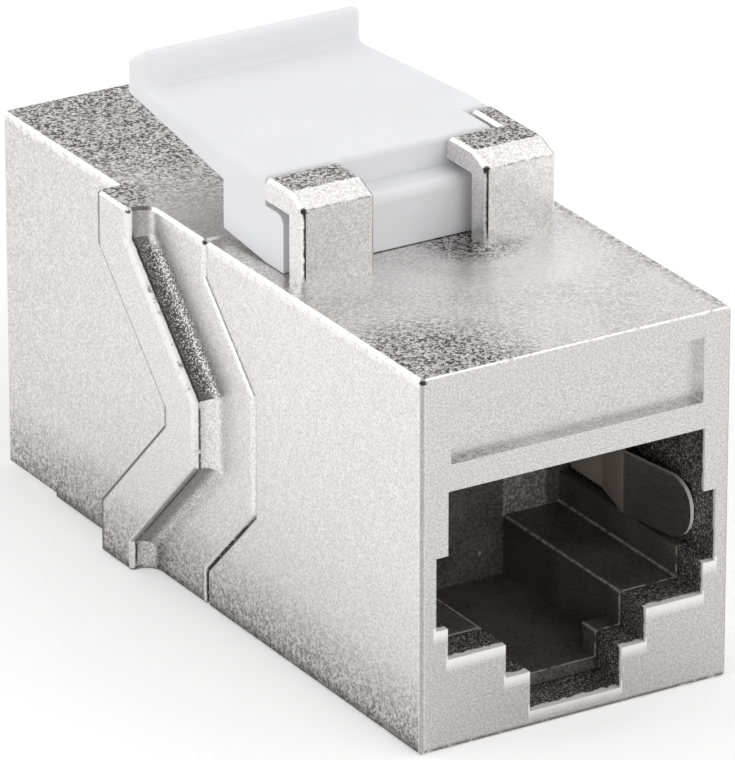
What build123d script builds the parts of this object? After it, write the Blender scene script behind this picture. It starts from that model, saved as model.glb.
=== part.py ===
from build123d import *
import os
from math import radians, tan

# Shielded keystone coupler: a die-cast housing in two halves with an 8-way modular jack at each end,
# a moulded latch held under two cast ears, and one circuit board that joins the two rows of contacts.
# Millimetres. X runs across, the front port looks along -Y, +Z is up. The origin is on the underside,
# below the middle of the housing. Depths are measured back from the front face, the ears and the latch
# are set out from the seam, and the carriers and contacts hang from the roof of the cavity.

# Housing
body_width = 14.5
body_height = 16.2
body_length = 33.5
front_wall = 1.8
side_wall = 0.7
floor_wall = 0.75
roof_wall = 1.65
edge_round = 0.28
end_break = 0.13
port_break = 0.09
heel_length = 4.2
heel_lift = 0.3

# Seam between the two halves, bent forward at 45 degrees round the middle of each side
seam_reach = 3.85
seam_flat = 5.3
seam_gap = 0.04
tongue_length = 1.4
tongue_seat = 1.0
tongue_thickness = 0.5
tongue_width = 9.0

# Bent stop rib on each side of the rear half
rib_front = -0.8
rib_reach = 5.3
rib_flat = 2.96
rib_width = 2.6
rib_proud = 1.0
rib_round = 0.28
rib_cove = 0.67

# Plug opening, heights above the underside
plug_width = 12.0
ledge_height = 3.95
notch_bottom = 5.3
notch_top = 8.45
tab_width = 6.6
tab_step = 2.5
key_width = 4.3

# Blank label field above the front port
label_width = 11.8
label_height = 2.8
label_drop = 2.45
label_depth = 0.5
label_corner = 0.08

# Cast ears that hold the latch
ear_middle = -0.53
ear_spacing = 8.55
ear_width = 3.35
ear_setback = 6.5
ear_post = 1.2
ear_length = 3.1
ear_rise = 3.85
ear_shoulder = 3.4
ear_bevel = 1.05
ear_beak = 1.13
ear_break = 0.14
ear_tip_round = 0.5
ear_beak_round = 0.35
ear_crook = 0.25
ear_root = 0.5
arm_width = 0.97
arm_length = 2.05

# Moulded latch
latch_middle = -0.42
latch_width = 11.8
latch_tip_width = 9.95
latch_gap = 0.1
foot_setback = 4.7
foot_length = 4.7
foot_lift = 0.04
rock_flat = 1.4
rock_angle = 6.0
bar_rise = 2.5
bar_round = 0.45
plate_step = 1.4
plate_rise = 3.8
plate_thickness = 1.3
plate_tip_thickness = 0.8
lip_reach = 7.45
lip_thickness = 1.95
lip_rise = 1.68
lip_fall = 1.1
lip_cove = 0.9
latch_round = 0.3

# Contact carrier behind each port
carrier_gap = 0.08
cavity_depth = 10.7
carrier_wall = 1.0
channel_floor = 1.35
key_block_depth = 1.0
comb_depth = 1.1
comb_roof = 0.5
comb_slot = 0.66
comb_pocket = 0.6
comb_clearance = 0.2

# Circuit board
board_thickness = 0.8
board_side_gap = 0.25
board_inset = 2.6
tail_room = 0.95
tail_hole = 0.72

# Contacts
contact_count = 8
contact_pitch = 1.02
contact_width = 0.46
contact_thickness = 0.3
contact_front = 3.3
contact_run = 0.75
contact_drop = 0.95
contact_sag = 2.15
contact_tip_seat = 0.25
contact_tip_length = 1.65
contact_tip_rise = 0.5
contact_bend = 0.42
tail_setback = 0.6
tail_row_pitch = 1.9
tail_land = 0.78
tail_proud = 0.45

# Shield leaf on each side of each port
leaf_thickness = 0.18
leaf_width = 2.7
leaf_rise = 0.2
leaf_seat_gap = 0.3
leaf_root = 8.05
leaf_crown = 5.45
leaf_tip = 1.4
leaf_press = 0.7
leaf_flare = 0.62
leaf_bend = 0.8
leaf_nose = 1.25

half_width = body_width / 2
half_length = body_length / 2
mid_height = body_height / 2
cavity_half = half_width - side_wall
cavity_top = body_height - roof_wall
board_top = cavity_top - tail_room
board_bottom = board_top - board_thickness
comb_top = board_bottom - comb_roof
plug_top = comb_top - comb_depth
front_y = -half_length
wall_back = front_y + front_wall
front_face = Plane.XZ.offset(half_length)
side_view = Plane.YZ

os.makedirs("parts", exist_ok=True)


def bent_edge(middle_y, flat, reach):
    """Points down a side edge that bends forward at 45 degrees round the middle of the side."""
    end_y = middle_y + reach
    half = flat / 2
    return [
        (end_y, body_height),
        (end_y, mid_height + half + reach),
        (middle_y, mid_height + half),
        (middle_y, mid_height - half),
        (end_y, mid_height - half - reach),
        (end_y, 0),
    ]


def follows(points, reach_x):
    """A test for straight edges that lie on one bent outline, at one distance from the middle plane."""
    def test(edge):
        middle = edge.center()
        if abs(abs(middle.X) - reach_x) > 0.01 or abs(edge.tangent_at(0.5).X) > 0.01:
            return False
        for (y1, z1), (y2, z2) in zip(points, points[1:]):
            off_line = (middle.Y - y1) * (z2 - z1) - (middle.Z - z1) * (y2 - y1)
            inside = (middle.Y - y1) * (middle.Y - y2) + (middle.Z - z1) * (middle.Z - z2)
            if abs(off_line) < 0.02 and inside < 0:
                return True
        return False
    return test


def at_end(edge):
    """True for an edge that lies in the top or the bottom face of the housing."""
    return edge.center().Z < 0.01 or abs(edge.center().Z - body_height) < 0.01


def behind_port(edge):
    """True for an edge round the inner mouth of a port, where the port's wall ends at the cavity."""
    middle = edge.center()
    inside = abs(middle.X) < cavity_half - 0.01 and floor_wall + 0.01 < middle.Z < cavity_top - 0.01
    return inside and abs(abs(middle.Y) + wall_back) < 0.01


def on_ear_side(edge):
    """True for an edge of an ear's side faces above the housing."""
    return abs(edge.tangent_at(0.5).X) < 0.01 and edge.center().Z > body_height


def finish(part, label):
    """Name a finished piece and write it out."""
    part.label = label
    export_step(part, f"parts/{label}.step")


# The stepped opening for a modular plug, drawn on the front face
with BuildSketch(front_face) as port_outline:
    with BuildLine():
        Polyline(
            (0, plug_top),
            (plug_width / 2, plug_top),
            (plug_width / 2, notch_top),
            (cavity_half, notch_top),
            (cavity_half, notch_bottom),
            (plug_width / 2, notch_bottom),
            (plug_width / 2, ledge_height),
            (tab_width / 2, ledge_height),
            (tab_width / 2, tab_step),
            (key_width / 2, tab_step),
            (key_width / 2, floor_wall),
            (0, floor_wall),
        )
        mirror(about=Plane.YZ)
    make_face()

# Ears: a post with a bevelled cap that reaches back over the latch, and a stop arm on the right one.
# In a side view the sketch's X runs back along the housing and its Y runs up.
ear_front = -ear_setback
ear_post_back = ear_front + ear_post
ear_back = ear_front + ear_length
ear_top = body_height + ear_rise
ear_foot = body_height - ear_root
arm_back = ear_back + arm_length
ear_face = [
    (ear_front, ear_foot),
    (ear_front, body_height + ear_shoulder),
    (ear_front + ear_bevel, ear_top),
]
with BuildSketch(side_view) as ear_profile:
    with BuildLine():
        Polyline(
            *ear_face,
            (ear_back, ear_top),
            (ear_back, ear_top - ear_beak),
            (ear_post_back, ear_top - ear_beak),
            (ear_post_back, ear_foot),
            close=True,
        )
    make_face()
    corners = ear_profile.vertices()
    fillet(corners.sort_by_distance((ear_back, ear_top))[0], radius=ear_tip_round)
    fillet(corners.sort_by_distance((ear_back, ear_top - ear_beak))[0], radius=ear_beak_round)
    fillet(corners.sort_by_distance((ear_post_back, ear_top - ear_beak))[0], radius=ear_crook)

with BuildSketch(side_view) as arm_profile:
    with BuildLine():
        Polyline(*ear_face, (arm_back, ear_top), (arm_back, ear_foot), close=True)
    make_face()
    fillet(arm_profile.vertices().group_by(Axis.X)[-1].sort_by(Axis.Y)[-1], radius=ear_tip_round)

with BuildPart() as ear:
    extrude(ear_profile.sketch, amount=ear_width / 2, both=True)
    chamfer(ear.edges().filter_by(on_ear_side), length=ear_break)

with BuildPart() as stop_arm:
    with BuildSketch(side_view.offset(ear_width / 2 - arm_width)):
        add(arm_profile.sketch_local)
    extrude(amount=arm_width)
    chamfer(stop_arm.edges().filter_by(on_ear_side), length=ear_break)

# Front half: port wall, label field and ears
right_ear_x = ear_middle + ear_spacing / 2
arm_inner = right_ear_x + ear_width / 2 - arm_width
seam_line = bent_edge(-seam_reach, seam_flat, seam_reach)
with BuildPart() as front_shell:
    with BuildSketch(side_view):
        with BuildLine():
            Polyline(*seam_line, (front_y, 0), (front_y, body_height), close=True)
        make_face()
    extrude(amount=half_width, both=True)
    seam_edges = front_shell.edges().filter_by(follows(seam_line, half_width))
    fillet(seam_edges + front_shell.edges().filter_by(Axis.Z).group_by(Axis.Y)[0], radius=edge_round)
    chamfer(front_shell.edges().filter_by(at_end), length=end_break)
    for ear_x in (ear_middle - ear_spacing / 2, right_ear_x):
        with Locations((ear_x, 0, 0)):
            add(ear.part)
    with Locations((right_ear_x, 0, 0)):
        add(stop_arm.part)
    with BuildSketch(Plane.XY.offset(floor_wall)):
        with Locations((0, wall_back)):
            Rectangle(2 * cavity_half, half_length, align=(Align.CENTER, Align.MIN))
    extrude(amount=cavity_top - floor_wall, mode=Mode.SUBTRACT)
    extrude(port_outline.sketch, amount=-front_wall, mode=Mode.SUBTRACT)
    chamfer(front_shell.edges().filter_by(behind_port), length=port_break)
    with BuildSketch(front_face):
        with Locations((0, body_height - label_drop)):
            RectangleRounded(label_width, label_height, label_corner)
    extrude(amount=-label_depth, mode=Mode.SUBTRACT)
finish(front_shell.part, "front_shell")

# Rear half: the same port, the side ribs, and lap tongues that seat inside the front half
rear_seam_line = bent_edge(seam_gap - seam_reach, seam_flat, seam_reach)
rib_line = bent_edge(rib_front, rib_flat, rib_reach)
rib_back_flat = rib_flat - 2 * rib_width * tan(radians(22.5))
rib_back_line = bent_edge(rib_front + rib_width, rib_back_flat, rib_reach)
rib_half = half_width + rib_proud
heel_front = half_length - heel_length
with BuildPart() as rear_shell:
    with BuildSketch(side_view):
        with BuildLine():
            Polyline(
                *rear_seam_line,
                (heel_front, 0),
                (heel_front, heel_lift),
                (half_length, heel_lift),
                (half_length, body_height),
                close=True,
            )
        make_face()
    extrude(amount=half_width, both=True)
    with BuildSketch(side_view):
        with BuildLine():
            Polyline(*rib_line, *reversed(rib_back_line), close=True)
        make_face()
    extrude(amount=rib_half, both=True)
    fillet(rear_shell.edges().filter_by(follows(rib_line, half_width)), radius=rib_cove)
    rib_edges = rear_shell.edges().filter_by(follows(rib_line, rib_half))
    rib_edges += rear_shell.edges().filter_by(follows(rib_back_line, rib_half))
    fillet(rib_edges, radius=rib_round)
    seam_edges = rear_shell.edges().filter_by(follows(rear_seam_line, half_width))
    fillet(seam_edges + rear_shell.edges().filter_by(Axis.Z).group_by(Axis.Y)[-1], radius=edge_round)
    chamfer(rear_shell.edges().filter_by(at_end), length=end_break)
    with BuildSketch(Plane.XY.offset(floor_wall)):
        with Locations((0, -wall_back)):
            Rectangle(2 * cavity_half, body_length, align=(Align.CENTER, Align.MAX))
    extrude(amount=cavity_top - floor_wall, mode=Mode.SUBTRACT)
    extrude(mirror(port_outline.sketch, about=Plane.XZ, mode=Mode.PRIVATE), amount=-front_wall,
            dir=(0, 1, 0), mode=Mode.SUBTRACT)
    chamfer(rear_shell.edges().filter_by(behind_port), length=port_break)
    for height, face in ((floor_wall, Align.MIN), (cavity_top, Align.MAX)):
        with Locations((0, tongue_seat, height)):
            Box(tongue_width, tongue_seat + tongue_length, tongue_thickness,
                align=(Align.CENTER, Align.MAX, face))
finish(rear_shell.part, "rear_shell")

# Latch: foot under the ears, plate over the housing, raised finger lip at the free end. It rocks on the
# edge where the flat under its foot turns up.
foot_front = -foot_setback
foot_back = foot_front + foot_length
foot_bottom = body_height + foot_lift
foot_right = arm_inner - latch_gap
rock_y = foot_front + rock_flat
heel_rise = (foot_back - rock_y) * tan(radians(rock_angle))
bar_top = body_height + bar_rise
plate_front = foot_front + plate_step
plate_top = body_height + plate_rise
plate_notch = arm_back + latch_gap
lip_back = lip_reach + lip_thickness
lip_top = plate_top + lip_rise
latch_left = latch_middle - latch_width / 2
latch_right = latch_middle + latch_width / 2
with BuildSketch(side_view) as latch_profile:
    with BuildLine():
        Polyline(
            (rock_y, foot_bottom),
            (foot_front, foot_bottom),
            (foot_front, bar_top),
            (plate_front, bar_top),
            (plate_front, plate_top),
            (lip_reach, plate_top),
            (lip_reach, lip_top),
            (lip_back, lip_top - lip_fall),
            (lip_back, plate_top - plate_tip_thickness),
            (foot_back, plate_top - plate_thickness),
            (foot_back, foot_bottom + heel_rise),
            close=True,
        )
    make_face()
    corners = latch_profile.vertices()
    fillet(corners.sort_by_distance((foot_front, bar_top))[0], radius=bar_round)
    fillet(corners.sort_by_distance((lip_reach, plate_top))[0], radius=lip_cove)

with BuildPart() as latch:
    extrude(latch_profile.sketch, amount=body_width, both=True)
    with BuildSketch(Plane.XY.offset(body_height)):
        with BuildLine():
            Polyline(
                (latch_left, foot_front),
                (latch_left, foot_back),
                (latch_middle - latch_tip_width / 2, lip_back),
                (latch_middle + latch_tip_width / 2, lip_back),
                (latch_right, foot_back),
                (latch_right, plate_notch),
                (foot_right, plate_notch),
                (foot_right, foot_front),
                close=True,
            )
        make_face()
    extrude(amount=plate_rise + lip_rise, mode=Mode.INTERSECT)
    with Locations((foot_right, foot_back, plate_top - plate_thickness)):
        Box(latch_width, half_length, plate_rise, align=(Align.MIN, Align.MAX, Align.MAX), mode=Mode.SUBTRACT)
    cove_lines = latch.faces().filter_by(GeomType.CYLINDER).sort_by(Axis.Z)[-1].edges().filter_by(Axis.X)
    high_edges = latch.edges().filter_by(lambda edge: edge.center().Z > plate_top - 0.01)
    lip_ends = latch.edges().filter_by(Axis.Z).group_by(Axis.Y)[-1]
    fillet(high_edges - cove_lines + lip_ends, radius=latch_round)
finish(latch.part, "latch")

# Contact carrier: a tray with the plug's ledges and latch channel, a back wall, and a comb overhead
carrier_half = cavity_half - carrier_gap
carrier_front = wall_back + carrier_gap
carrier_bottom = floor_wall + carrier_gap
wall_y = front_y + cavity_depth
slot_front = front_y + contact_front - contact_thickness / 2 - comb_clearance
contact_xs = [(number - (contact_count - 1) / 2) * contact_pitch for number in range(contact_count)]
tail_rows = [wall_y + carrier_wall + tail_setback + row * tail_row_pitch for row in range(2)]
tail_ys = [tail_rows[number % 2] for number in range(contact_count)]
contact_low = plug_top - contact_sag
with BuildPart() as front_carrier:
    with BuildSketch(Plane.XZ.offset(-carrier_front)):
        with BuildLine():
            Polyline(
                (0, channel_floor),
                (tab_width / 2, channel_floor),
                (tab_width / 2, ledge_height),
                (plug_width / 2, ledge_height),
                (plug_width / 2, notch_bottom),
                (carrier_half, notch_bottom),
                (carrier_half, carrier_bottom),
                (0, carrier_bottom),
            )
            mirror(about=Plane.YZ)
        make_face()
    extrude(amount=carrier_front - wall_y)
    key_block = (tab_width - key_width) / 2
    with Locations(*[(side * (key_width + key_block) / 2, carrier_front, channel_floor) for side in (-1, 1)]):
        Box(key_block, key_block_depth, tab_step - channel_floor, align=(Align.CENTER, Align.MIN, Align.MIN))
    with Locations((0, wall_y, carrier_bottom)):
        Box(2 * carrier_half, carrier_wall, plug_top - carrier_bottom,
            align=(Align.CENTER, Align.MIN, Align.MIN))
    with Locations((0, carrier_front, plug_top)):
        Box(2 * carrier_half, tail_rows[-1] + tail_land - carrier_front, comb_depth + comb_roof,
            align=(Align.CENTER, Align.MIN, Align.MIN))
    for x, tail_y in zip(contact_xs, tail_ys):
        slot_back = tail_y + contact_thickness / 2 + comb_clearance
        with Locations((x, slot_front, plug_top)):
            Box(comb_slot, slot_back - slot_front, comb_depth,
                align=(Align.CENTER, Align.MIN, Align.MIN), mode=Mode.SUBTRACT)
        with Locations((x, wall_y, plug_top)):
            Box(comb_slot, comb_pocket, plug_top - contact_low + contact_thickness + comb_clearance,
                align=(Align.CENTER, Align.MIN, Align.MAX), mode=Mode.SUBTRACT)
        with Locations((x, tail_y, comb_top)):
            Box(comb_slot, contact_thickness + 2 * comb_clearance, comb_roof,
                align=(Align.CENTER, Align.CENTER, Align.MIN), mode=Mode.SUBTRACT)
finish(front_carrier.part, "front_carrier")

with BuildPart() as rear_carrier:
    mirror(front_carrier.part, about=Plane.XZ)
finish(rear_carrier.part, "rear_carrier")

# Circuit board, drilled for the tails of both rows
with BuildPart() as circuit_board:
    with Locations((0, 0, board_bottom)):
        Box(2 * (cavity_half - board_side_gap), body_length - 2 * board_inset, board_thickness,
            align=(Align.CENTER, Align.CENTER, Align.MIN))
    with BuildSketch(Plane.XY.offset(board_bottom)):
        with Locations(*[(x, end * y) for x, y in zip(contact_xs, tail_ys) for end in (-1, 1)]):
            RegularPolygon(radius=tail_hole / 2, side_count=8)
    extrude(amount=board_thickness, mode=Mode.SUBTRACT)
finish(circuit_board.part, "circuit_board")

# Contacts: formed strips that rise through the board, run forward, turn back and slope into the port
run_height = plug_top + contact_run
bend_y = front_y + contact_front
tip_y = wall_y + contact_tip_seat
for number, (x, tail_y) in enumerate(zip(contact_xs, tail_ys), start=1):
    with BuildPart() as contact:
        with BuildLine(side_view.offset(x)) as strip:
            FilletPolyline(
                (tail_y, board_top + tail_proud),
                (tail_y, run_height),
                (bend_y, run_height),
                (bend_y, run_height - contact_drop),
                (tip_y - contact_tip_length, contact_low),
                (tip_y, contact_low + contact_tip_rise),
                radius=(0, contact_bend, contact_bend, contact_bend),
            )
        with BuildSketch(Plane(origin=strip.line @ 0, x_dir=(1, 0, 0), z_dir=strip.line % 0)):
            Rectangle(contact_width, contact_thickness)
        sweep(transition=Transition.RIGHT)
    finish(contact.part, f"front_contact_{number}")
    finish(mirror(contact.part, about=Plane.XZ), f"rear_contact_{number}")

# Shield leaves: spring strips on the cavity's side walls that press on a shielded plug
leaf_x = cavity_half - leaf_thickness / 2
leaf_middle = notch_bottom + leaf_rise + leaf_width / 2
with BuildPart() as shield_leaf:
    with BuildLine(Plane.XY.offset(leaf_middle)) as leaf_line:
        FilletPolyline(
            (leaf_x, wall_y - leaf_seat_gap),
            (leaf_x, front_y + leaf_root),
            (leaf_x - leaf_press, front_y + leaf_crown),
            (leaf_x - leaf_press + leaf_flare, front_y + leaf_tip),
            radius=leaf_bend,
        )
    with BuildSketch(Plane(origin=leaf_line.line @ 0, x_dir=(0, 0, 1), z_dir=leaf_line.line % 0)):
        Rectangle(leaf_width, leaf_thickness)
    sweep()
    nose = shield_leaf.faces().sort_by(Axis.Y)[0].edges()
    fillet(nose.filter_by(lambda edge: edge.length < 2 * leaf_thickness), radius=leaf_nose)
for side, side_plane in (("right", None), ("left", Plane.YZ)):
    leaf = shield_leaf.part if side_plane is None else mirror(shield_leaf.part, about=side_plane)
    finish(leaf, f"front_shield_leaf_{side}")
    finish(mirror(leaf, about=Plane.XZ), f"rear_shield_leaf_{side}")
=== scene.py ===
import math
from types import SimpleNamespace

import bmesh
import bpy
from mathutils import Matrix, Vector


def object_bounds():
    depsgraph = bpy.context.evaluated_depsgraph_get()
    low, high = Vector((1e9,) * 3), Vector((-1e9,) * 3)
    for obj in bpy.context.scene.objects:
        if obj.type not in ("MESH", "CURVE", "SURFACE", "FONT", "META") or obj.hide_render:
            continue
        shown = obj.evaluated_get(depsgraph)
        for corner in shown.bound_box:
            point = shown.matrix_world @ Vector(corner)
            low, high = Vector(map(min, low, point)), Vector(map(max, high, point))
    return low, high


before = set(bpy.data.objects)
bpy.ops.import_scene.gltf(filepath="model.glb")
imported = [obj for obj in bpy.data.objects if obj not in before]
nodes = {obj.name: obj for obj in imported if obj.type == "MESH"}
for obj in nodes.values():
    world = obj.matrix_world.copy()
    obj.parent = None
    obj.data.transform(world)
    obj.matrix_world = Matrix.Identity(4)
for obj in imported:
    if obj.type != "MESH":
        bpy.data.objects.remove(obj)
cadLow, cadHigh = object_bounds()
print("frame loaded:", len(nodes), "nodes")


# One output socket of a node tree. Sums on it add Math nodes.
class Wire:
    def __init__(self, tree, socket=None):
        self.tree = tree
        self.socket = socket

    # Any node: its type, its settings, its socket values or links, and the output that is wanted
    def node(self, kind, settings=None, sockets=None, output=0):
        made = self.tree.nodes.new("ShaderNode" + kind)
        for name, value in (settings or {}).items():
            setattr(made, name, value)
        for name, value in (sockets or {}).items():
            if isinstance(value, Wire):
                self.tree.links.new(value.socket, made.inputs[name])
            else:
                made.inputs[name].default_value = value
        return Wire(self.tree, made.outputs[output] if made.outputs else None)

    def maths(self, operation, first, second):
        return self.node("Math", {"operation": operation}, {0: first, 1: second})

    def __add__(self, other):
        return self.maths("ADD", self, other)

    def __radd__(self, other):
        return self.maths("ADD", other, self)

    def __sub__(self, other):
        return self.maths("SUBTRACT", self, other)

    def __rsub__(self, other):
        return self.maths("SUBTRACT", other, self)

    def __mul__(self, other):
        return self.maths("MULTIPLY", self, other)

    def __rmul__(self, other):
        return self.maths("MULTIPLY", other, self)

    def __pow__(self, other):
        return self.maths("POWER", self, other)

    def __rpow__(self, other):
        return self.maths("POWER", other, self)

    def __abs__(self):
        return self.node("Math", {"operation": "ABSOLUTE"}, {0: self})

    # Another output of the node that this socket belongs to
    def beside(self, output):
        return Wire(self.tree, self.socket.node.outputs[output])

    def least(self, other):
        return self.maths("MINIMUM", self, other)

    def most(self, other):
        return self.maths("MAXIMUM", self, other)

    # The three numbers of a vector
    def parts(self):
        first = self.node("SeparateXYZ", None, {0: self})
        return first, first.beside(1), first.beside(2)

    # Distance from a fixed point
    def distance(self, point):
        return self.node("VectorMath", {"operation": "DISTANCE"}, {0: self, 1: point}, output="Value")

    # Straight-line map from low..high to 0..1, held at the ends
    def ramp(self, low, high):
        return self.node("MapRange", {"clamp": True}, {"Value": self, "From Min": low, "From Max": high})

    # Kept between 0 and 1
    def held(self):
        return self.ramp(0.0, 1.0)

    # 0 up to start, 1 from full to last, and 0 again from stop
    def band(self, start, full, last, stop):
        return self.ramp(start, full) * self.ramp(stop, last)

    # Colour between two colours, by this value
    def tint(self, low, high):
        return self.node(
            "Mix",
            {"data_type": "RGBA"},
            {"Factor": self, 6: colour(low), 7: colour(high)},
            output=2,
        )


def colour(level):
    return level if isinstance(level, Wire) else (*level, 1.0)


def noise(place, size, detail=2.0, roughness=0.5, distortion=0.0):
    return place.node(
        "TexNoise",
        {"noise_dimensions": "3D"},
        {
            "Vector": place,
            "Scale": 1 / size,
            "Detail": detail,
            "Roughness": roughness,
            "Distortion": distortion,
        },
    )


# Opens an empty material and hands back its tree and its object-space place in metres
def openMaterial(name):
    material = bpy.data.materials.new(name)
    material.use_nodes = True
    material.node_tree.nodes.clear()
    start = Wire(material.node_tree)
    return material, start.node("TexCoord", output=3)


def closeMaterial(material, place, sockets):
    shader = place.node("BsdfPrincipled", None, sockets)
    place.node("OutputMaterial", None, {"Surface": shader})
    return material


def bump(place, height, depth, onto=None):
    sockets = {"Height": height, "Distance": depth, "Strength": 1.0}
    if onto is not None:
        sockets["Normal"] = onto
    return place.node("Bump", None, sockets)


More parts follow.
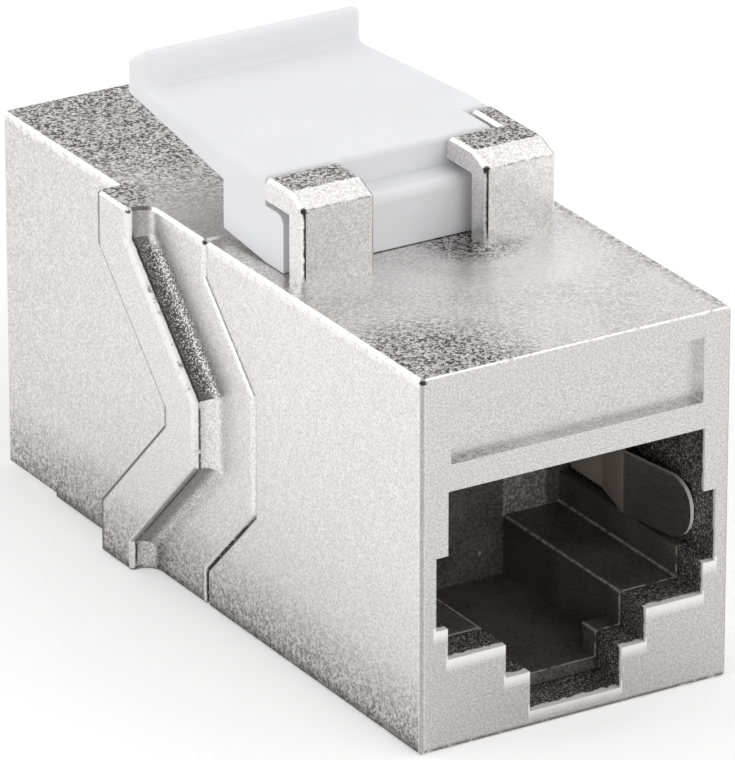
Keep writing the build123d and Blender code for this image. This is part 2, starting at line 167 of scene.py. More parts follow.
# Nickel-plated zinc casting: fine salt-and-pepper grain all over, crinkled and darker on the top faces,
# painted shade in the coves of the stop ribs, on the ends and low on the sides, painted highlights along the
# edges and on the ports' lips, painted shade with glints inside the ports, and painted shade lines and dark
# spots at small nicks where edges meet. Places and sizes are in metres. Two numbers for a mask are where it
# starts and where it is full, and four are where it starts, is full, is still full and has ended.
castMetal = {
    "light": (0.98, 0.965, 0.955),
    "dark": (0.64, 0.63, 0.62),
    # Darker pair of the grain colours: painted shade on the ends, ribs and lower sides
    "shadeLight": (0.74, 0.73, 0.72),
    "shadeDark": (0.47, 0.46, 0.455),
    "black": (0.045, 0.042, 0.04),
    # Colour of the painted highlights on edges and port lips
    "edge": (0.98, 0.975, 0.965),
    # Colour of the painted shade lines and spots
    "paintedShade": (0.015, 0.015, 0.015),
    # Paler grains and dark base of the painted shade inside the ports
    "inside": (0.60, 0.57, 0.54),
    "insideShade": (0.05, 0.046, 0.043),
    "rough": 0.30,
    # How much rougher, and how much less metallic, each kind of mark makes the plating
    "rougher": {"grain": 0.10, "paintedShade": 0.35, "inside": 0.15, "cove": 0.2},
    "duskier": {"paintedShade": 0.9, "ribHighlight": 0.85, "inside": 0.5},
    # Sizes of the noises, and depths of the bumps
    "grain": 0.000085,
    "grainDepth": 0.000008,
    "salt": 0.00007,
    "crinkle": 0.00016,
    "crinkleDepth": 0.000028,
    "swell": 0.0009,
    "swellDepth": 0.000006,
    # The noise that wavers lines and breaks up marks, and how far it moves each line
    "wander": 0.0004,
    "waver": {
        "most": 0.00016,
        "rib": 0.000112,
        "ribRear": 0.00004,
        "upperRim": 0.000256,
        "shoulder": 0.00008,
        "seamLight": 0.00006,
        "seamDark": 0.00010,
        "flatLip": 0.0005,
        "sideLip": 0.0003,
    },
    # The crinkle's bump where no black crinkle shows, as a share of the whole
    "flatRise": 0.35,

    # The way a face looks: parts of its normal, or products of two parts, which are 0.5 on a 45-degree break
    "flatFace": (0.90, 0.98),
    "slopedFace": (0.06, 0.24),
    "sideBreak": (0.30, 0.46),
    "endBreak": (0.40, 0.48),
    "ribTopBreak": (0.42, 0.48),
    "bevelBreak": (0.25, 0.40),
    "capBreak": (0.25, 0.40),
    "underBreak": (0.15, 0.30),
    "uprightBreak": (0.30, 0.45),
    "ribWallFace": (0.3, 0.7),
    "ribCornerFace": (0.06, 0.16),
    "ribBackFace": (0.04, 0.14, 0.40, 0.62),
    "upperCoveFace": ((0.2, 0.5), (0.1, 0.3)),
    "lowerCoveFace": ((0.35, 0.6), (0.2, 0.4)),
    "lipFace": (0.3, 0.6),
    "frontward": (0.3, 0.5),
    "leftward": (0.2, 0.5),

    # Heights above the underside
    "deck": 0.0162,
    "onEar": (0.0164, 0.0167),
    "onCap": (0.0192, 0.0194),
    "earShoulder": 0.0196,
    "upperRim": (0.01578, 0.01590),
    "overEndHigh": (0.0150, 0.0155),
    "overEndLow": (0.016145, 0.016125),
    "ribTop": (0.0157, 0.0159),
    "ribArch": (0.0137, 0.0141),
    "ribLineHigh": (0.0152, 0.0149),
    "ribCornerHigh": (0.0070, 0.0090),
    "upperSlope": (0.0096, 0.0099, 0.0145, 0.0151),
    "lowerSlope": (0.0066, 0.0060),
    "seamHigh": (0.0050, 0.0070),
    "seamLow": (0.0060, 0.0045),
    "seamWidens": (0.0075, 0.0040),
    "lowEnd": (0.0100, 0.0050),
    "lowDown": (0.007, 0.0),
    "lowSpecks": (0.0034, 0.0002),
    "lowDim": (0.0036, 0.0005),
    "lowShade": (0.00065, 0.00020),
    "foot": (0.00030, 0.00018),
    "portHigh": (0.0003, 0.0005, 0.0113, 0.0114),
    # Distances from the middle plane
    "offSide": (0.0069, 0.0071),
    "onRib": (0.00723, 0.00729),
    "ribCorner": (0.00800, 0.00804),
    "ribLine": 0.00799,
    "ribLip": (0.0081, 0.0082),
    "ribBack": (0.00795, 0.00810),
    "ribRear": (0.00805, 0.00815),
    "pepperWide": (0.0081, 0.0079),
    "sparksWide": (0.0079, 0.0076),
    "farEdge": (0.0064, 0.0071),
    "portWide": (0.00705, 0.0070),
    # Distances in front of and behind the middle, then places from front to rear
    "portDeep": (0.016746, 0.016740),
    "byEnd": (0.01595, 0.01615),
    "overEnd": (0.01645, 0.01655),
    "flatLip": (0.01638, 0.01644),
    "sideLip": (0.01658, 0.01664),
    "endCorner": (0.0160, 0.0163),
    "rearMargin": (0.01654, 0.01664),
    "rearHalf": (0.0, 0.001),
    "rearwards": (-0.006, 0.016),
    "earFront": (-0.00641, -0.00646),

    # Lines bent at 45 degrees round the middle of each side: the middle's height, then for each line where
    # its middle lies, half the height of its flat and how far back its ends reach
    "middle": 0.0081,
    "seam": (-0.00385, 0.00265, 0.00385),
    "ribFrontLine": (-0.0008, 0.00148, 0.0053),
    "ribBackLine": (0.0018, 0.000403, 0.0053),
    # Distances behind those lines
    "ribFoot": (-0.00135, -0.00070, 0.0001, 0.0002),
    "ribLipReach": (0.00064, 0.00048),
    "ribRearReach": (-0.00040, -0.00030),
    "seamLightPlace": 0.00009,
    "seamLight": (0.00010, 0.00006),
    "seamDark": (0.00006, 0.00003),
    "seamWider": 0.00009,
    # Half widths of the painted shade lines
    "ribLineWidth": (0.00007, 0.00003),
    "shoulderWidth": (0.00005, 0.00002),

    # Levels of the noises that show
    "grainTint": (0.66, 0.34),
    "crinkleLine": 0.56,
    "crinkleWidth": (0.030, 0.018),
    "lineBlack": 0.5,
    "pits": (0.51, 0.47),
    "faint": (0.38, 0.62),
    "pepperSalt": (0.54, 0.46),
    "sparksSalt": (0.55, 0.62),
    "insideSalt": (0.62, 0.50),
    "sparkleSalt": (0.59, 0.65),
    # How the wandering noise breaks up each mark
    "broken": {
        "edge": (0.34, 0.46),
        "upperRim": (0.40, 0.50),
        "shoulder": (0.50, 0.56),
        "capEdge": (0.36, 0.46),
        "ribLine": (0.38, 0.48),
        "seam": (0.34, 0.46),
        "underEdge": (0.30, 0.50),
        "margin": (0.30, 0.44),
    },

    # How much black crinkle each kind of face carries
    "specks": {
        "top": 1.0,
        "unworn": 0.12,
        "cap": 0.80,
        "farEdge": 0.5,
        "side": 0.04,
        "sideRear": 0.16,
        "lowEnd": 0.08,
        "lowSide": 0.60,
    },
    # How far each kind of face goes towards the darker pair of colours, which is painted shade
    "paintedDim": {
        "bodyEnd": 1.0,
        "overEnd": 1.0,
        "earFront": 0.28,
        "bevel": 0.3,
        "ribWall": 0.45,
        "cove": 0.4,
        "sideRear": 0.30,
        "lowSide": 0.3,
    },
    # How dark the painted shade in the ribs' roots is, with the pepper's share on the lower slopes
    "rootShadeDepth": {"upperCove": 0.72, "lowerCove": 0.5, "pepper": 0.9, "ribArch": 0.55, "lowerPepper": 0.5},
    # How bright the lesser painted highlights are: sparks, painted glints on the lower slopes and next to the
    # corner, and sparkle, painted glints on the ports' upright walls, with how much more their level ones
    # have
    "paintedHighlight": {
        "ribLip": 0.8,
        "bevel": 0.15,
        "lowerSparks": 0.3,
        "outerSparks": 0.25,
        "sparkle": 0.40,
        "sparkleLevel": 0.45,
    },
    # How dark each patch of painted shade is
    "shadeDepth": {
        "shoulder": 0.6,
        "capEdge": 0.9,
        "ribLine": 0.9,
        "ribBack": 0.85,
        "ribRear": 0.5,
        "seam": 0.45,
        "seamLow": 0.5,
        "underEdge": 0.7,
        "foot": 0.75,
        "rearMargin": 0.5,
        "endCorner": 0.45,
        "lowSide": 0.6,
    },

    # Level edges of each port that carry a painted highlight: from and to across, height
    "portLips": (
        (-0.0010, 0.00215, 0.0009),
        (0.00215, 0.0033, 0.0025),
        (0.0033, 0.0060, 0.00395),
        (0.0060, 0.0066, 0.0053),
    ),
    # How far the painted highlight of such an edge reaches below and above it, and past its two ends
    "lipBelow": (-0.00055, -0.00015),
    "lipAbove": (0.0002, 0.0001),
    "lipNear": (-0.00002, 0.00004),
    "lipFar": (0.00010, 0.00004),
    "nickSize": 0.00021,
    "nickRagged": 0.0003,
    "nicks": (
        (-0.00825, 0.0045, 0.0161),
        (-0.0072, 0.00002, 0.0161),
        (-0.00645, -0.00645, 0.01955),
        (0.0021, -0.00645, 0.01955),
        (-0.0072, -0.0167, 0.0161),
    ),
    # A patch of the deck that hands have polished: middle, reach, and how much it hides the dark grain
    "polished": ((0.0014, -0.0088, 0.0162), 0.0052),
    "polish": 0.7,
    # Faint patches all over the deck: size, level. Then patches where the crinkle is strongest: x, y, reach
    "faintDeck": (0.0045, 0.22),
    "wornDeck": (
        (0.0019, -0.0056, 0.0026),
        (-0.0062, -0.0155, 0.0058),
        (-0.0014, 0.0134, 0.0124),
        (-0.0079, 0.0062, 0.0024),
    ),
}


# How far back a bent line of the sides lies at this height
def bent(height, line):
    start, flat, reach = line
    return (abs(height - castMetal["middle"]) - flat).most(0.0).least(reach) + start


# What the castings' marks share: where a point lies, how it faces, the noises, and the kind of face it is on
def castFaces(place):
    facts = castMetal
    at = SimpleNamespace(place=place)
    at.x, at.y, at.z = place.parts()
    at.faceX, at.faceY, at.faceZ = place.beside("Normal").parts()
    at.wide, at.long = abs(at.x), abs(at.y)
    at.forward = 0 - at.faceY
    at.grain = noise(place, facts["grain"], roughness=0.65)
    at.crinkle = noise(place, facts["crinkle"], detail=2.5, roughness=0.65, distortion=0.7)
    at.swell = noise(place, facts["swell"])
    at.salt = noise(place, facts["salt"], roughness=0.6)
    at.wander = noise(place, facts["wander"], detail=3.0, roughness=0.6)
    at.sway = at.wander - 0.5
    at.ragged = at.sway * facts["waver"]["most"]

    at.top = at.faceZ.ramp(*facts["flatFace"])
    at.end = abs(at.faceY).ramp(*facts["flatFace"])
    at.side = abs(at.faceX).ramp(*facts["flatFace"])
    at.overSides = abs(at.faceX) * at.faceZ
    at.overEnds = abs(at.faceY) * at.faceZ
    at.upright = abs(at.faceX * at.faceY).ramp(*facts["uprightBreak"])
    at.onRib = at.wide.ramp(*facts["onRib"])
    at.onEar = at.z.ramp(*facts["onEar"])
    at.cap = at.top * at.z.ramp(*facts["onCap"])
    at.cove = abs(at.faceY * at.faceZ).ramp(*facts["slopedFace"]) * at.onRib
    at.bodyEnd = at.end * at.long.ramp(*facts["byEnd"])
    at.ribWall = at.onRib * at.forward.ramp(*facts["ribWallFace"])
    at.inside = at.wide.ramp(*facts["portWide"]) * at.z.band(*facts["portHigh"])
    at.inside = at.inside * at.long.ramp(*facts["portDeep"])
    at.rearwards = at.y.ramp(*facts["rearwards"]).most(at.z.ramp(*facts["lowDown"]))
    at.overEnd = at.overEnds.ramp(*facts["endBreak"]) * at.long.ramp(*facts["overEnd"])
    at.overEnd = at.overEnd * at.z.ramp(*facts["overEndHigh"])
    at.bevel = at.onEar * at.overEnds.ramp(*facts["bevelBreak"])
    at.offSeam = at.y - bent(at.z, facts["seam"])
    at.offRib = at.y - bent(at.z, facts["ribFrontLine"])
    at.onSlope = at.z.band(*facts["upperSlope"])
    return at


# Black crinkle: thin wandering lines and pits between them, and how much of it a face carries
def castCrinkle(at):
    facts, specks = castMetal, castMetal["specks"]
    lines = abs(at.crinkle - facts["crinkleLine"]).ramp(*facts["crinkleWidth"])
    speck = (lines * facts["lineBlack"] + at.crinkle.ramp(*facts["pits"])).held()
    size, level = facts["faintDeck"]
    worn = noise(at.place, size).ramp(*facts["faint"]) * level
    for patchX, patchY, reach in facts["wornDeck"]:
        worn = worn.most(at.place.distance((patchX, patchY, facts["deck"])).ramp(reach, reach * 0.45))
    amount = at.top * (specks["unworn"] + (1 - specks["unworn"]) * worn) * specks["top"]
    amount = amount + at.cap * specks["cap"] + at.top * at.x.ramp(*facts["farEdge"]) * specks["farEdge"]
    amount = amount + at.side * (specks["side"] + at.rearwards * specks["sideRear"])
    amount = amount + at.bodyEnd * at.z.ramp(*facts["lowEnd"]) * specks["lowEnd"]
    amount = amount + at.side * at.z.ramp(*facts["lowSpecks"]) * specks["lowSide"]
    return speck, amount.held()


# Painted shade and painted glints as salt and pepper along the foot of the ribs' slopes, strong on the upper
# slopes and fainter on the lower
def castPepper(at):
    facts, paintedHighlight = castMetal, castMetal["paintedHighlight"]
    byRib = at.offRib.band(*facts["ribFoot"]) * at.wide.ramp(*facts["offSide"])
    lower = at.z.ramp(*facts["lowerSlope"])
    pepper = byRib * at.onSlope.most(lower * facts["rootShadeDepth"]["lowerPepper"])
    pepper = pepper * at.wide.ramp(*facts["pepperWide"]) * at.salt.ramp(*facts["pepperSalt"])
    sparks = byRib * at.onSlope.most(lower * paintedHighlight["lowerSparks"]) * at.salt.ramp(*facts["sparksSalt"])
    inner = at.wide.ramp(*facts["sparksWide"])
    return pepper, sparks * (paintedHighlight["outerSparks"] + (1 - paintedHighlight["outerSparks"]) * inner)


# Painted highlights along the edges: the breaks between top, side and end faces, the seam and the ribs' outer
# corners, which are handed back on their own too
def castEdgeHighlights(at):
    facts, broken, paintedHighlight, waver = castMetal, castMetal["broken"], castMetal["paintedHighlight"], castMetal["waver"]
    edge = at.overSides.ramp(*facts["sideBreak"]) + at.overEnds.ramp(*facts["endBreak"])
    ribCorner = (at.wide + at.sway * waver["rib"]).ramp(*facts["ribCorner"])
    ribCorner = ribCorner * at.onRib * at.forward.ramp(*facts["ribCornerFace"])
    ribLip = at.side * at.wide.ramp(*facts["ribLip"]) * (at.offRib + at.ragged).ramp(*facts["ribLipReach"])
    ribCorner = ribCorner.most(ribLip * at.onSlope * paintedHighlight["ribLip"]) * at.z.ramp(*facts["ribCornerHigh"])
    ribTop = at.overSides.ramp(*facts["ribTopBreak"]) * at.z.ramp(*facts["ribTop"])
    edge = edge * (1 - at.onRib) + ribCorner + ribTop
    # Of the break over each end only the upper half gets the painted highlight
    edge = edge * (1 - at.overEnd * at.z.ramp(*facts["overEndLow"]))
    seam = abs(at.offSeam - facts["seamLightPlace"] + at.sway * waver["seamLight"])
    seam = seam.ramp(*facts["seamLight"]) * at.side * at.z.ramp(*facts["seamHigh"])
    edge = (edge + seam).held() * at.wander.ramp(*broken["edge"])
    edge = edge.most(at.bevel * paintedHighlight["bevel"])
    # The upper rim of each side gets a painted highlight too, down to a ragged line
    upperRim = (at.z + at.sway * waver["upperRim"]).ramp(*facts["upperRim"])
    upperRim = at.side * (1 - at.onRib) * (1 - at.onEar) * upperRim
    return edge.most(upperRim * at.wander.ramp(*broken["upperRim"])), ribCorner


# The ports: painted highlights on their lips, and painted glints on the bare walls
def castPorts(at):
    facts, marks, waver = castMetal, castMetal["paintedHighlight"], castMetal["waver"]
    level, upright = at.faceZ.ramp(*facts["lipFace"]), abs(at.faceX).ramp(*facts["lipFace"])
    paintedHighlight = level * (at.long + at.sway * waver["flatLip"]).ramp(*facts["flatLip"])
    paintedHighlight = paintedHighlight + upright * (at.long + at.sway * waver["sideLip"]).ramp(*facts["sideLip"])
    paintedHighlight = paintedHighlight.held() * at.inside
    for near, far, height in facts["portLips"]:
        lip = (at.z + at.ragged - height).ramp(*facts["lipBelow"]) * (at.z - height).ramp(*facts["lipAbove"])
        lip = lip * (at.wide - near).ramp(*facts["lipNear"]) * (at.wide - far).ramp(*facts["lipFar"])
        paintedHighlight = paintedHighlight.most(lip * at.bodyEnd)
    sparkle = at.salt.ramp(*facts["sparkleSalt"]) * at.inside
    return paintedHighlight, sparkle * (marks["sparkle"] + marks["sparkleLevel"] * level)


# Painted shade: dark lines on the ears' front corners and shoulders, round the ribs, in the seam, along the
# lower edges, at the ends' corners, and dark spots in the nicks
def castPaintedShade(at):
    facts, broken, shadeDepth, waver = castMetal, castMetal["broken"], castMetal["shadeDepth"], castMetal["waver"]
    frontward = at.forward.ramp(*facts["frontward"])
    corner = at.upright * frontward * (0 - at.faceX).ramp(*facts["leftward"])
    paintedShade = corner * at.onEar * (at.y + at.ragged).ramp(*facts["earFront"])
    shoulder = abs(at.z + at.sway * waver["shoulder"] - facts["earShoulder"]).ramp(*facts["shoulderWidth"])
    paintedShade = paintedShade.most(shoulder * frontward * at.wander.ramp(*broken["shoulder"]) * shadeDepth["shoulder"])
    capEdge = (at.faceX * at.faceZ).ramp(*facts["capBreak"]) * at.onEar
    paintedShade = paintedShade.most(capEdge * at.wander.ramp(*broken["capEdge"]) * shadeDepth["capEdge"])

    ribLine = abs(at.wide + at.sway * waver["rib"] - facts["ribLine"]).ramp(*facts["ribLineWidth"])
    ribLine = ribLine * at.ribWall * at.z.ramp(*facts["ribLineHigh"]) * at.wander.ramp(*broken["ribLine"])
    paintedShade = paintedShade.most(ribLine * shadeDepth["ribLine"])
    ribBack = at.faceY.band(*facts["ribBackFace"]) * at.wide.ramp(*facts["ribBack"])
    paintedShade = paintedShade.most(ribBack * shadeDepth["ribBack"])
    ribRear = at.y + at.sway * waver["ribRear"] - bent(at.z, facts["ribBackLine"])
    ribRear = ribRear.ramp(*facts["ribRearReach"]) * at.onRib * at.side * at.wide.ramp(*facts["ribRear"])
    paintedShade = paintedShade.most(ribRear * shadeDepth["ribRear"])

    # The seam's painted shade is wider and darker low down
    low = at.z.ramp(*facts["seamLow"])
    seam = abs(at.offSeam + at.sway * waver["seamDark"])
    seam = (seam - at.z.ramp(*facts["seamWidens"]) * facts["seamWider"]).ramp(*facts["seamDark"])
    seam = seam * at.side.most(low * at.wide.ramp(*facts["offSide"]))
    seam = seam * (shadeDepth["seam"] + shadeDepth["seamLow"] * low)
    paintedShade = paintedShade.most(seam * at.wander.ramp(*broken["seam"]))
    underEdge = (abs(at.faceX * at.faceZ) * (0 - at.faceZ)).ramp(*facts["underBreak"])
    paintedShade = paintedShade.most(underEdge * at.wander.ramp(*broken["underEdge"]) * shadeDepth["underEdge"])
    # Painted shade as grey margins where the sides meet the underside and the rear end
    margin = at.z.ramp(*facts["foot"]) * (at.side + at.end).held() * shadeDepth["foot"]
    rear = at.side * at.long.ramp(*facts["rearMargin"]) * at.y.ramp(*facts["rearHalf"])
    paintedShade = paintedShade.most(margin.most(rear * shadeDepth["rearMargin"]) * at.wander.ramp(*broken["margin"]))
    paintedShade = paintedShade.most(at.upright * at.long.ramp(*facts["endCorner"]) * shadeDepth["endCorner"])
    paintedShade = paintedShade.most(at.side * (at.z + at.ragged).ramp(*facts["lowShade"]) * shadeDepth["lowSide"])
    for nick in facts["nicks"]:
        spot = at.place.distance(nick) + (at.grain - 0.5) * facts["nickRagged"]
        paintedShade = paintedShade.most(spot.ramp(facts["nickSize"], facts["nickSize"] * 0.6))
    return paintedShade


def makeCastMetal():
    material, place = openMaterial("platedCasting")
    facts, paintedDim, rootShadeDepth = castMetal, castMetal["paintedDim"], castMetal["rootShadeDepth"]
    at = castFaces(place)
    speck, amount = castCrinkle(at)
    pepper, sparks = castPepper(at)
    edge, ribCorner = castEdgeHighlights(at)
    paintedHighlight, sparkle = castPorts(at)
    paintedShade = castPaintedShade(at)

    # The plating's grain, and painted shade as a darker grain on the ends, the ribs and the lower parts of
    # the sides
    middle, reach = facts["polished"]
    polished = place.distance(middle).ramp(reach, reach * 0.4) * at.top * (1 - at.onEar)
    grained = at.grain.ramp(*facts["grainTint"])
    paint = (grained * (1 - facts["polish"] * polished)).tint(facts["light"], facts["dark"])
    # Painted shade: how far each face goes towards the darker pair of colours
    paintedDimAmount = at.bodyEnd * paintedDim["bodyEnd"] + at.overEnd * paintedDim["overEnd"]
    paintedDimAmount = paintedDimAmount + at.end * at.onEar * paintedDim["earFront"] + at.bevel * paintedDim["bevel"]
    paintedDimAmount = paintedDimAmount + at.ribWall * paintedDim["ribWall"] + at.cove * paintedDim["cove"]
    paintedDimAmount = paintedDimAmount + at.side * at.rearwards * paintedDim["sideRear"]
    paintedDimAmount = paintedDimAmount + at.side * at.z.ramp(*facts["lowDim"]) * paintedDim["lowSide"]
    paint = paintedDimAmount.held().tint(paint, grained.tint(facts["shadeLight"], facts["shadeDark"]))

    # Painted shade in the roots of the ribs, then crinkle, painted highlights on the edges, the ports'
    # painted shade and highlights, and painted shade lines, each over the last
    frontward, upward = facts["upperCoveFace"]
    upperCove = at.cove * at.forward.ramp(*frontward) * at.faceZ.ramp(*upward)
    frontward, downward = facts["lowerCoveFace"]
    lowerCove = at.cove * at.forward.ramp(*frontward) * (0 - at.faceZ).ramp(*downward)
    ribArch = at.ribWall * at.z.ramp(*facts["ribArch"])
    # Painted shade in the ribs' coves, arches and pepper
    paintedRootShade = (upperCove * rootShadeDepth["upperCove"]).most(lowerCove * rootShadeDepth["lowerCove"])
    paintedRootShade = paintedRootShade.most(pepper * rootShadeDepth["pepper"]).most(ribArch * rootShadeDepth["ribArch"])
    paint = paintedRootShade.tint(paint, facts["black"])
    paint = (speck * amount).tint(paint, facts["black"])
    paint = edge.most(sparks).tint(paint, facts["edge"])
    # Painted shade inside the ports: a dark base with paler grains
    shadedWalls = at.salt.ramp(*facts["insideSalt"]).tint(facts["inside"], facts["insideShade"])
    paint = at.inside.tint(paint, shadedWalls)
    paint = sparkle.most(paintedHighlight).tint(paint, facts["edge"])
    paint = paintedShade.tint(paint, facts["paintedShade"])

    duskier, rougher = facts["duskier"], facts["rougher"]
    metal = (1.0 - duskier["paintedShade"] * paintedShade) * (1.0 - duskier["ribHighlight"] * ribCorner.most(sparks))
    rough = facts["rough"] + rougher["grain"] * (at.grain - 0.5) + rougher["paintedShade"] * paintedShade
    rise = (facts["flatRise"] + (1 - facts["flatRise"]) * amount) * at.crinkle
    normal = bump(place, at.swell, facts["swellDepth"])
    normal = bump(place, rise, facts["crinkleDepth"], normal)
    normal = bump(place, at.grain, facts["grainDepth"], normal)
    return closeMaterial(material, place, {
        "Base Color": paint,
        "Metallic": metal * (1.0 - (duskier["inside"] * at.inside).most(paintedHighlight)),
        "Roughness": rough + rougher["inside"] * at.inside + rougher["cove"] * at.cove,
        "Normal": normal,
    })


# White moulding of the latch: a fine grain, faint flow marks, and light that goes a little way in
latchPlastic = {
    "light": (0.87, 0.87, 0.885),
    "dark": (0.84, 0.84, 0.855),
    "grain": 0.00025,
    "grainDepth": 0.0000012,
    "flow": 0.004,
    "rough": 0.34,
    "roughSwing": 0.1,
    "milky": 0.15,
    "milkyReach": (0.0006, 0.0005, 0.0004),
}


def makeLatchPlastic():
    material, place = openMaterial("whiteMoulding")
    grain = noise(place, latchPlastic["grain"])
    flow = noise(place, latchPlastic["flow"])
    return closeMaterial(material, place, {
        "Base Color": flow.ramp(0.3, 0.7).tint(latchPlastic["dark"], latchPlastic["light"]),
        "Roughness": latchPlastic["rough"] + latchPlastic["roughSwing"] * grain,
        "Subsurface Weight": latchPlastic["milky"],
        "Subsurface Radius": latchPlastic["milkyReach"],
        "Subsurface Scale": 1.0,
        "Normal": bump(place, grain, latchPlastic["grainDepth"]),
    })


# Dark moulding of the contact carriers: grain and flow marks, with painted highlights on the ledges' edges
# and a painted pool of light on the wall behind the ledge
carrierPlastic = {
    "light": (0.175, 0.158, 0.145),
    "dark": (0.042, 0.038, 0.035),
    # Painted highlights on the ledges' edges, and a painted pool of light on the wall behind the ledge
    "rimHighlight": (0.62, 0.60, 0.57),
    "paintedLitPatch": (0.42, 0.40, 0.37),
    "grain": 0.00010,
    "grainDepth": 0.000006,
    "flow": 0.003,
    "rough": 0.36,
    "roughSwing": 0.18,
    "wander": 0.0003,
    "ragged": 0.0001,
    # Painted highlights on the ends of the ledges: distance from the middle, the way they face, how broken
    # they are
    "endRim": (0.01475, 0.01479),
    "endRimFace": (0.6, 0.4),
    "endRimBroken": (0.40, 0.50),
    # Painted highlights on the long edges of the ledges: distance from the middle plane, height
    "rims": ((0.0060, 0.00395), (0.0033, 0.00395), (0.00215, 0.0025)),
    "rimWidth": (0.00011, 0.000044),
    "rimBroken": (0.30, 0.55),
    "rimLevel": 0.8,
    # The painted pool of light on the wall behind the ledge: the way it faces, height, distance from the
    # middle plane, depth
    "litPatchFace": (0.8, 0.95),
    "litPatchHigh": (0.0039, 0.00395, 0.0059, 0.0060),
    "litPatchWide": (0.00325, 0.0033, 0.0053, 0.0054),
    "litPatchDeep": (0.0075, 0.0070),
    "litPatchGrain": (0.50, 0.60),
}


def makeCarrierPlastic():
    material, place = openMaterial("darkMoulding")
    facts = carrierPlastic
    x, y, z = place.parts()
    wide, long = abs(x), abs(y)
    faceEnd = abs(place.beside("Normal").parts()[1])
    grain = noise(place, facts["grain"])
    flow = noise(place, facts["flow"], detail=3.0)
    wander = noise(place, facts["wander"])
    # Painted highlights on the ends and long edges of the ledges
    rimHighlight = (long + (wander - 0.5) * facts["ragged"]).ramp(*facts["endRim"])
    rimHighlight = rimHighlight * faceEnd.ramp(*facts["endRimFace"]) * wander.ramp(*facts["endRimBroken"])
    for across, height in facts["rims"]:
        off = ((wide - across) ** 2.0 + (z - height) ** 2.0) ** 0.5
        line = off.ramp(*facts["rimWidth"]) * wander.ramp(*facts["rimBroken"])
        rimHighlight = rimHighlight.most(line * facts["rimLevel"])
    # Painted pool of light on the wall behind the ledge, with its grain
    paintedLitPatch = faceEnd.ramp(*facts["litPatchFace"]) * z.band(*facts["litPatchHigh"])
    paintedLitPatch = paintedLitPatch * wide.band(*facts["litPatchWide"]) * long.ramp(*facts["litPatchDeep"])
    paint = (grain * 0.6 + flow * 0.4).ramp(0.38, 0.62).tint(facts["dark"], facts["light"])
    paint = (paintedLitPatch * (0.25 + 0.75 * grain.ramp(*facts["litPatchGrain"]))).tint(paint, facts["paintedLitPatch"])
    return closeMaterial(material, place, {
        "Base Color": rimHighlight.tint(paint, facts["rimHighlight"]),
        "Roughness": facts["rough"] + facts["roughSwing"] * grain,
        "Normal": bump(place, grain, facts["grainDepth"]),
    })


# Solder-masked laminate: weave under the mask, and a faint orange peel on it
boardLaminate = {
    "light": (0.020, 0.115, 0.055),
    "dark": (0.010, 0.075, 0.035),
    "weave": 0.0004,
    "weaveDepth": 0.000003,
    "peel": 0.0006,
    "rough": 0.30,
    "roughSwing": 0.15,
}


def makeBoardLaminate():
    material, place = openMaterial("solderMask")
    turns = 2 * math.pi / boardLaminate["weave"]
    across, along = [way.maths("SINE", way * turns, 0.0) for way in place.parts()[:2]]
    weave = (across * along * 0.5 + 0.5).ramp(0.2, 0.8)
    peel = noise(place, boardLaminate["peel"])
    return closeMaterial(material, place, {
        "Base Color": weave.tint(boardLaminate["dark"], boardLaminate["light"]),
        "Roughness": boardLaminate["rough"] + boardLaminate["roughSwing"] * peel,
        "Normal": bump(place, weave * 0.5 + peel, boardLaminate["weaveDepth"]),
    })


# Gold flash on the contacts, with the rolled strip's long fine lines
contactGold = {
    "light": (0.86, 0.63, 0.27),
    "dark": (0.70, 0.49, 0.20),
    "line": 0.00006,
    "stretch": 14.0,
    "lineDepth": 0.0000012,
    "rough": 0.20,
    "roughSwing": 0.16,
}


def makeContactGold():
    material, place = openMaterial("goldFlash")
    drawn = place.node(
        "Mapping",
        {"vector_type": "POINT"},
        {"Vector": place, "Scale": (1.0, 1 / contactGold["stretch"], 1 / contactGold["stretch"])},
    )
    lines = noise(drawn, contactGold["line"])
    return closeMaterial(material, place, {
        "Base Color": lines.ramp(0.3, 0.7).tint(contactGold["dark"], contactGold["light"]),
        "Metallic": 1.0,
        "Roughness": contactGold["rough"] + contactGold["roughSwing"] * lines,
        "Normal": bump(place, lines, contactGold["lineDepth"]),
    })


# Spring steel of the shield leaves, rolled front to back: painted highlights on the cut edges, painted light
# in a warm tone behind the crown
leafSteel = {
    "light": (0.84, 0.85, 0.88),
    "dark": (0.62, 0.63, 0.66),
    # Painted highlight on the cut edges, and painted light behind the crown in a warm tone
    "cutEdgeHighlight": (0.95, 0.94, 0.92),
    "paintedWarmLight": (0.62, 0.55, 0.50),
    "cutFace": (0.35, 0.15),
    "behind": (0.01135, 0.01125),
    "line": 0.00008,
    "stretch": 18.0,
    "lineDepth": 0.0000018,
    "rough": 0.24,
    "roughSwing": 0.18,
    # How much less metallic the cut edges and the painted light behind the crown look
    "duskier": {"cut": 0.8, "behind": 0.6},
}


def makeLeafSteel():
    material, place = openMaterial("springSteel")
    facts, duskier = leafSteel, leafSteel["duskier"]
    drawn = place.node(
        "Mapping",
        {"vector_type": "POINT"},
        {"Vector": place, "Scale": (1.0, 1 / facts["stretch"], 1.0)},
    )
    lines = noise(drawn, facts["line"])
    # Painted highlight on the cut edges, and painted light behind the crown
    cut = abs(place.beside("Normal").parts()[0]).ramp(*facts["cutFace"])
    behind = abs(place.parts()[1]).ramp(*facts["behind"])
    paint = lines.ramp(0.3, 0.7).tint(facts["dark"], facts["light"])
    paint = behind.tint(paint, facts["paintedWarmLight"])
    return closeMaterial(material, place, {
        "Base Color": cut.tint(paint, facts["cutEdgeHighlight"]),
        "Metallic": 1.0 - (duskier["cut"] * cut).most(duskier["behind"] * behind),
        "Roughness": facts["rough"] + facts["roughSwing"] * lines,
        "Normal": bump(place, lines, facts["lineDepth"]),
    })


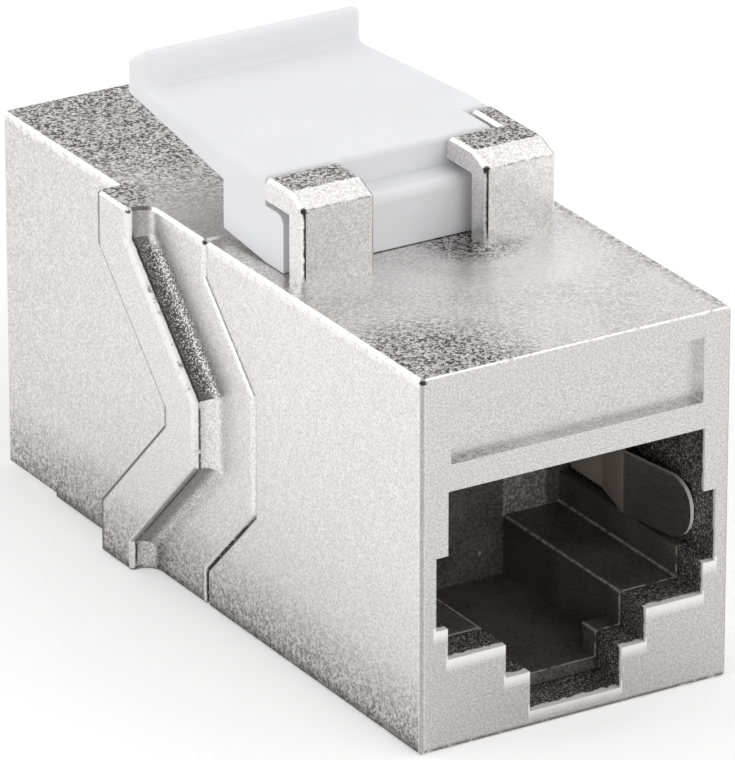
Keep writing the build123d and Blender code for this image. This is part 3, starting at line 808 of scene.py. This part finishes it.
def dress(names, material):
    for name in names:
        mesh = nodes[name].data
        mesh.materials.clear()
        mesh.materials.append(material)


dress(["front_shell", "rear_shell"], makeCastMetal())
dress(["latch"], makeLatchPlastic())
dress(["front_carrier", "rear_carrier"], makeCarrierPlastic())
dress(["circuit_board"], makeBoardLaminate())
dress([name for name in nodes if "_contact_" in name], makeContactGold())
dress([name for name in nodes if "_shield_leaf_" in name], makeLeafSteel())
print("finishes on", len(nodes), "nodes")


# Pale floor that keeps the object's shadow and looks white where nothing shades it
floorLook = {
    "radius": 1.6,
    "corners": 96,
    "paint": 0.88,
    "mottle": 0.02,
    "mottleDrop": 0.01,
    "lift": 0.26,
}


def makeFloor():
    facts = floorLook
    mesh = bpy.data.meshes.new("paleFloor")
    shape = bmesh.new()
    bmesh.ops.create_circle(shape, cap_ends=True, segments=facts["corners"], radius=facts["radius"])
    shape.to_mesh(mesh)
    shape.free()
    floor = bpy.data.objects.new("paleFloor", mesh)
    floor.location.z = cadLow.z
    bpy.context.scene.collection.objects.link(floor)
    material, place = openMaterial("palePaper")
    rays = place.node("LightPath")
    seen = rays.beside("Is Camera Ray") + rays.beside("Is Glossy Ray") + rays.beside("Is Transmission Ray")
    darker = facts["paint"] - facts["mottleDrop"]
    paint = noise(place, facts["mottle"]).tint((darker,) * 3, (facts["paint"],) * 3)
    matt = place.node("BsdfDiffuse", None, {"Color": paint, "Roughness": 1.0})
    glow = place.node("Emission", None, {"Color": (1, 1, 1, 1), "Strength": seen.held() * facts["lift"]})
    place.node("OutputMaterial", None, {"Surface": place.node("AddShader", None, {0: matt, 1: glow})})
    mesh.materials.append(material)


makeFloor()

# Soft lights, each aimed at the middle of the object. Level is the brightness of the panel's face.
softLights = {
    "leftKey": {"azimuth": -92, "elevation": 24, "distance": 0.60, "wide": 0.32, "high": 0.24, "level": 1.3},
    "rightFill": {"azimuth": 85, "elevation": 60, "distance": 0.60, "wide": 0.26, "high": 0.26, "level": 1.6},
    "portFill": {"azimuth": 4, "elevation": 10, "distance": 0.60, "wide": 0.22, "high": 0.12, "level": 2.8},
}
# The room: an even level, and soft patches of its walls and ceiling that are brighter or darker, each with
# its reach. Soft is how near a patch's middle it has its full level, as a share of the reach.
roomLight = {
    "even": 0.97,
    "soft": 0.35,
    "patches": {
        "backLeft": {"azimuth": -149, "elevation": 28, "reach": 0.7, "level": 0.25},
        "unlitFront": {"azimuth": -48, "elevation": 54, "reach": 0.64, "level": -0.85},
        "backHorizon": {"azimuth": 149, "elevation": 2, "reach": 0.34, "level": -0.32},
    },
}


def outward(azimuth, elevation):
    turn, tilt = math.radians(azimuth), math.radians(elevation)
    return Vector((math.sin(turn) * math.cos(tilt), -math.cos(turn) * math.cos(tilt), math.sin(tilt)))


def makeLights():
    middle = (cadLow + cadHigh) / 2
    for name, facts in softLights.items():
        lamp = bpy.data.lights.new(name, "AREA")
        lamp.shape = "RECTANGLE"
        lamp.size = facts["wide"]
        lamp.size_y = facts["high"]
        lamp.energy = facts["level"] * math.pi * facts["wide"] * facts["high"]
        holder = bpy.data.objects.new(name, lamp)
        away = outward(facts["azimuth"], facts["elevation"])
        holder.location = middle + away * facts["distance"]
        holder.rotation_euler = away.to_track_quat("Z", "Y").to_euler()
        bpy.context.scene.collection.objects.link(holder)
    world = bpy.data.worlds.new("studio")
    world.use_nodes = True
    world.node_tree.nodes.clear()
    start = Wire(world.node_tree)
    place = start.node("TexCoord", output=0)
    level = roomLight["even"]
    for facts in roomLight["patches"].values():
        spot = place.distance(outward(facts["azimuth"], facts["elevation"]))
        level = level + spot.ramp(facts["reach"], facts["reach"] * roomLight["soft"]) * facts["level"]
    sky = place.node("Background", None, {"Color": (1, 1, 1, 1), "Strength": level})
    place.node("OutputWorld", None, {"Surface": sky})
    bpy.context.scene.world = world


makeLights()

# The photograph's viewpoint, in the object's own frame
viewPoint = {
    "eye": (-0.172224, -0.284262, 0.151749),
    "azimuth": -31.2788,
    "elevation": 23.3211,
    "lens": 417.51,
    "sensor": 36.0,
    "nearest": 0.02,
    "farthest": 10,
}


def makeCamera():
    lens = bpy.data.cameras.new("viewPoint")
    lens.lens = viewPoint["lens"]
    lens.sensor_width = viewPoint["sensor"]
    lens.clip_start = viewPoint["nearest"]
    lens.clip_end = viewPoint["farthest"]
    camera = bpy.data.objects.new("viewPoint", lens)
    back = outward(viewPoint["azimuth"], viewPoint["elevation"])
    right = Vector((0, 0, 1)).cross(back).normalized()
    turn = Matrix((right, back.cross(right), back)).transposed().to_4x4()
    camera.matrix_world = Matrix.Translation(viewPoint["eye"]) @ turn
    bpy.context.scene.collection.objects.link(camera)
    bpy.context.scene.camera = camera


makeCamera()
bpy.context.scene.view_settings.view_transform = "Standard"
print("lights and camera set")
